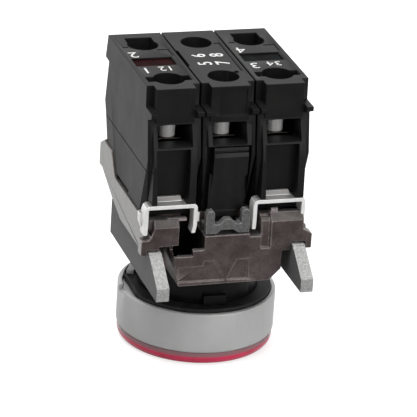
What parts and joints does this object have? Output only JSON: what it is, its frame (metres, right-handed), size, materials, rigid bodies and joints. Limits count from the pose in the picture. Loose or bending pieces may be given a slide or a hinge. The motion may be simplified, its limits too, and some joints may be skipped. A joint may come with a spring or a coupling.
{
  "type": "industrial push button",
  "caption": "Illuminated spring-return push button for a 22 mm panel hole, with a cast fixing collar, clipped-on contact blocks and a light block.",
  "frame": {"origin": "on the button's axis, in the plane of the gasket's sealing face, which is the panel's front face", "axes": "+Z along the button's axis from the panel towards the terminals; +X across the blocks from the normally closed block to the normally open one; +Y towards the collar's clamp screw"},
  "size_m": [0.0318, 0.0435, 0.0536],
  "materials": {
    "bezel_metal": "satin",
    "gasket_rubber": "matte",
    "black_plastic": "satin",
    "red_lens": "gloss",
    "white_plastic": "satin",
    "spring_steel": "satin",
    "cast_collar": "rough cast",
    "stirrup_steel": "satin",
    "screw_steel": "satin",
    "grey_plastic": "satin",
    "dark_plastic": "matte",
    "latch_plastic": "matte",
    "window_red": "gloss",
    "window_dark": "gloss",
    "clip_metal": "satin",
    "contact_brass": "satin",
    "board_green": "satin",
    "lamp_clear": "gloss"
  },
  "bodies": {
    "base": {"bezel": "bezel_metal", "gasket": "gasket_rubber", "barrel": "black_plastic", "colour_ring": "red_lens", "return_spring": "spring_steel", "collar": "cast_collar", "nc_housing": "dark_plastic", "nc_window": "window_red", "nc_clip": "clip_metal", "nc_spring": "spring_steel", "nc_terminals": "contact_brass", "no_housing": "dark_plastic", "no_window": "window_dark", "no_clip": "clip_metal", "no_spring": "spring_steel", "no_terminals": "contact_brass", "light_housing": "dark_plastic", "light_latch": "latch_plastic", "light_board": "board_green", "light_lamp": "lamp_clear", "light_terminals": "contact_brass", "terminal_screws": "screw_steel", "terminal_washers": "screw_steel"},
    "button": {"lens": "red_lens", "carrier": "white_plastic", "pusher": "white_plastic"},
    "stirrup": {"clamp_stirrup": "stirrup_steel"},
    "clamp_screw": {"clamp_screw": "screw_steel"},
    "lock_lever": {"lock_lever": "grey_plastic"},
    "nc_moving": {"nc_plunger": "white_plastic", "nc_bridge": "contact_brass"},
    "no_plunger": {"no_plunger": "white_plastic"},
    "no_bridge": {"no_bridge": "contact_brass"}
  },
  "joints": [
    {"name": "press", "type": "slide", "parent": "base", "child": "button", "axis": [0, 0, 1], "range_m": [0, 0.0043], "stiffness_N_per_m": 350, "springref_m": -0.008, "deforming": ["return_spring"]},
    {"name": "nc_travel", "type": "slide", "parent": "base", "child": "nc_moving", "axis": [0, 0, 1], "range_m": [0, 0.0043], "deforming": ["nc_spring"]},
    {"name": "no_travel", "type": "slide", "parent": "base", "child": "no_plunger", "axis": [0, 0, 1], "range_m": [0, 0.0043]},
    {"name": "no_close", "type": "slide", "parent": "base", "child": "no_bridge", "axis": [0, 0, 1], "range_m": [0, 0.0026], "deforming": ["no_spring"]},
    {"name": "clamp_slide", "type": "slide", "parent": "base", "child": "stirrup", "axis": [0, 0, -1], "range_m": [0, 0.0055]},
    {"name": "clamp_turn", "type": "hinge", "parent": "stirrup", "child": "clamp_screw", "pos_m": [0, 0.0182, 0.02], "axis": [0, 0, -1], "range_deg": [0, 2828.58]},
    {"name": "lever_pull", "type": "slide", "parent": "base", "child": "lock_lever", "axis": [0, -1, 0], "range_m": [0, 0.0018], "stiffness_N_per_m": 400, "springref_m": -0.001}
  ],
  "couplings": [
    {"joint": "nc_travel", "follows": "press", "ratio": 1},
    {"joint": "no_travel", "follows": "press", "ratio": 1},
    {"joint": "no_close", "follows": "press", "ratio": 0.6},
    {"joint": "clamp_turn", "follows": "clamp_slide", "rad_per_m": 8976}
  ]
}
